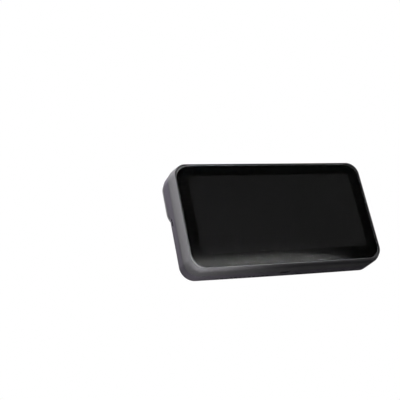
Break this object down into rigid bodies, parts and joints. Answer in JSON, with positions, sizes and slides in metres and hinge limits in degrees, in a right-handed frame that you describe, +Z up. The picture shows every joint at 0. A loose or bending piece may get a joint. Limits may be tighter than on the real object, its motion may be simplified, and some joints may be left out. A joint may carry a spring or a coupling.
{
  "type": "handheld 3-d scanner",
  "caption": "Handheld wireless 3-D scanner: a rounded tablet-like body with a touch screen on one face and a dark glass camera window above a grip on the other.",
  "frame": {"origin": "on the surface under the middle of the body, which stands upright on its lower edge", "axes": "+X along the width, to the right as seen from the screen; the screen faces -Y and the scan window +Y; +Z up"},
  "size_m": [0.173, 0.03, 0.0924],
  "materials": {
    "cast_frame": "fine bead-blasted, dark purple grey",
    "cover_glass": "polished, printed black behind its border",
    "adhesive": "matt",
    "display": "dark, switched off",
    "flex_cable": "amber film",
    "housing": "fine matt purple grey",
    "bezel": "satin edge line",
    "window_glass": "polished, smoked",
    "filter_film": "grey film",
    "mask_ink": "black print",
    "gasket": "matt",
    "steel": "bright",
    "filter_mesh": "fine dark mesh",
    "bench": "black anodised",
    "module": "black",
    "lens": "coated",
    "lamp": "clear yellowish dome",
    "battery_pouch": "laminated film",
    "circuit_board": "green solder mask",
    "chip": "black",
    "tin_plate": "tinned",
    "pad": "soft grey",
    "bare_aluminium": "milled",
    "fan_plastic": "black",
    "socket_shell": "plated",
    "button_cap": "matt",
    "copper_film": "bare strip"
  },
  "bodies": {
    "body": {"front_frame": "cast_frame", "cover_glass": "cover_glass", "screen_adhesive": "adhesive", "display_panel": "display", "display_ribbon": "flex_cable", "rear_housing": "housing", "scan_bezel": "bezel", "scan_window": "window_glass", "window_mask": "mask_ink", "window_filters": "filter_film", "screen_print": "mask_ink", "window_gasket": "gasket", "strap_pin": "steel", "vent_filters": "filter_mesh", "optical_bench": "bench", "pattern_projector": "module", "projector_lens": "lens", "flash_holder": "module", "flash_leds": "lamp", "battery": "battery_pouch", "main_board": "circuit_board", "board_chips": "chip", "shield_can": "tin_plate", "thermal_pad": "pad", "heat_sink": "bare_aluminium", "blower_case": "fan_plastic", "blower_shaft": "steel", "port_shell": "socket_shell", "port_tongue": "module", "port_board": "circuit_board", "button_switches": "chip", "button_board": "circuit_board", "sensor_ribbon": "flex_cable", "case_screws": "steel", "bench_screws": "steel", "board_screws": "steel", "port_screws": "steel", "colour_camera": "module", "colour_lens": "lens", "left_stereo_camera": "module", "left_stereo_lens": "lens", "left_corner_camera": "module", "left_corner_lens": "lens", "left_dot_emitter": "module", "left_led_board": "circuit_board", "left_leds": "lamp", "left_aerial": "copper_film", "right_stereo_camera": "module", "right_stereo_lens": "lens", "right_corner_camera": "module", "right_corner_lens": "lens", "right_dot_emitter": "module", "right_led_board": "circuit_board", "right_leds": "lamp", "right_aerial": "copper_film"},
    "scan_button": {"scan_button": "button_cap"},
    "power_button": {"power_button": "button_cap"},
    "blower_impeller": {"blower_impeller": "fan_plastic"}
  },
  "joints": [
    {"name": "scan_button_press", "type": "slide", "parent": "body", "child": "scan_button", "axis": [0, 0, -1], "range_m": [0, 0.0006], "stiffness_N_per_m": 1500},
    {"name": "power_button_press", "type": "slide", "parent": "body", "child": "power_button", "axis": [0, 0, -1], "range_m": [0, 0.0006], "stiffness_N_per_m": 1500},
    {"name": "impeller_spin", "type": "hinge", "parent": "body", "child": "blower_impeller", "pos_m": [-0.0435, -0.001, 0.037], "axis": [0, 1, 0], "continuous": true}
  ]
}
